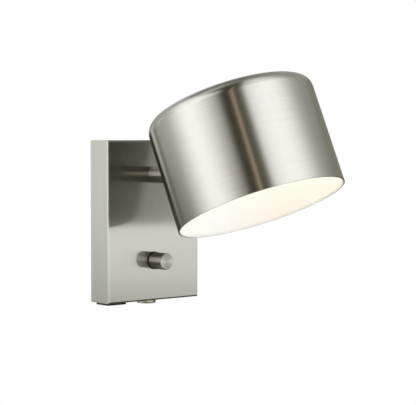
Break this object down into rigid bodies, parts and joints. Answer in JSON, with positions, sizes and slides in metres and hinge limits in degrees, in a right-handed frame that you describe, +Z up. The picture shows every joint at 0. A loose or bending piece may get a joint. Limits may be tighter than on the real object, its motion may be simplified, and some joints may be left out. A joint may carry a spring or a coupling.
{
  "type": "bedside wall reading lamp",
  "caption": "Wall reading lamp: slim folded metal box with a dimmer knob, a short swivelling arm and a tilting drum shade with an opal bulb, lit white inside.",
  "frame": {"origin": "middle of the wall bracket's back face, halfway between the two wall screw slots, in the wall's plane", "axes": "+Z up the wall, +Y into the wall, -Y out of the wall along the arm, +X to the right as seen from the room"},
  "size_m": [0.145, 0.2273, 0.198],
  "materials": {
    "cover_nickel": "satin nickel on folded sheet, fine vertical grain",
    "shade_nickel": "satin nickel, spun, brushed round the drum",
    "turned_nickel": "satin nickel, turned",
    "zinc_steel": "bright zinc plated",
    "spring_steel": "plain spring steel",
    "black_steel": "blackened",
    "brass": "turned, bare",
    "white_enamel": "white stoved enamel on spun aluminium",
    "black_plastic": "fine matt moulding",
    "module_plastic": "matt moulding",
    "white_plastic": "smooth moulding",
    "ivory_plastic": "smooth moulding",
    "tongue_plastic": "smooth moulding",
    "port_metal": "bright pressed sheet",
    "rubber": "matt",
    "lead_sheath": "smooth sheath, one colour each",
    "lamp_lead_sheath": "smooth sheath",
    "contact_copper": "pressed sheet",
    "opal_glass": "opal, lit",
    "bulb_plastic": "smooth moulding",
    "bulb_cap_metal": "rolled thread",
    "bulb_insulator": "glazed"
  },
  "bodies": {
    "wall": {"wall_bracket": "zinc_steel", "front_cover": "cover_nickel", "cover_screw": "turned_nickel", "threaded_insert": "brass", "cable_grommet": "rubber", "terminal_block": "ivory_plastic", "terminal_screws": "brass", "earth_screw": "brass", "earth_clamp": "zinc_steel", "dimmer_module": "module_plastic", "bush_nut": "zinc_steel", "bush_ring": "black_plastic", "charger_module": "module_plastic", "socket_bezel": "black_plastic", "port_shell": "port_metal", "port_tongue": "tongue_plastic", "swivel_bush": "white_plastic", "box_leads": "lead_sheath"},
    "arm": {"arm_tube": "turned_nickel", "swivel_nipple": "brass", "stop_washer": "zinc_steel", "spring_washer": "spring_steel", "swivel_nut": "brass", "arm_fork": "turned_nickel", "friction_washers": "white_plastic", "pivot_screw": "zinc_steel", "pivot_nut": "zinc_steel", "arm_lead": "lamp_lead_sheath"},
    "head": {"shade_shell": "shade_nickel", "shade_reflector": "white_enamel", "head_knuckle": "turned_nickel", "saddle_washer": "zinc_steel", "holder_nut": "brass", "holder_cap": "white_plastic", "holder_body": "white_plastic", "holder_shell": "contact_copper", "holder_contact": "contact_copper", "bulb_globe": "opal_glass", "bulb_base": "bulb_plastic", "bulb_cap": "bulb_cap_metal", "bulb_tip": "bulb_insulator"},
    "knob": {"dimmer_knob": "turned_nickel", "dimmer_shaft": "zinc_steel", "grub_screw": "black_steel"}
  },
  "joints": [
    {"name": "arm_swivel", "type": "hinge", "parent": "wall", "child": "arm", "pos_m": [0, -0.025, 0.04], "axis": [0, -1, 0], "range_deg": [-164, 156]},
    {"name": "shade_tilt", "type": "hinge", "parent": "arm", "child": "head", "pos_m": [0, -0.062, 0.04], "axis": [-0.9976, 0, -0.0698], "range_deg": [-57, 50]},
    {"name": "knob_turn", "type": "hinge", "parent": "wall", "child": "knob", "pos_m": [0, -0.034, -0.035], "axis": [0, -1, 0], "range_deg": [-150, 150]}
  ]
}
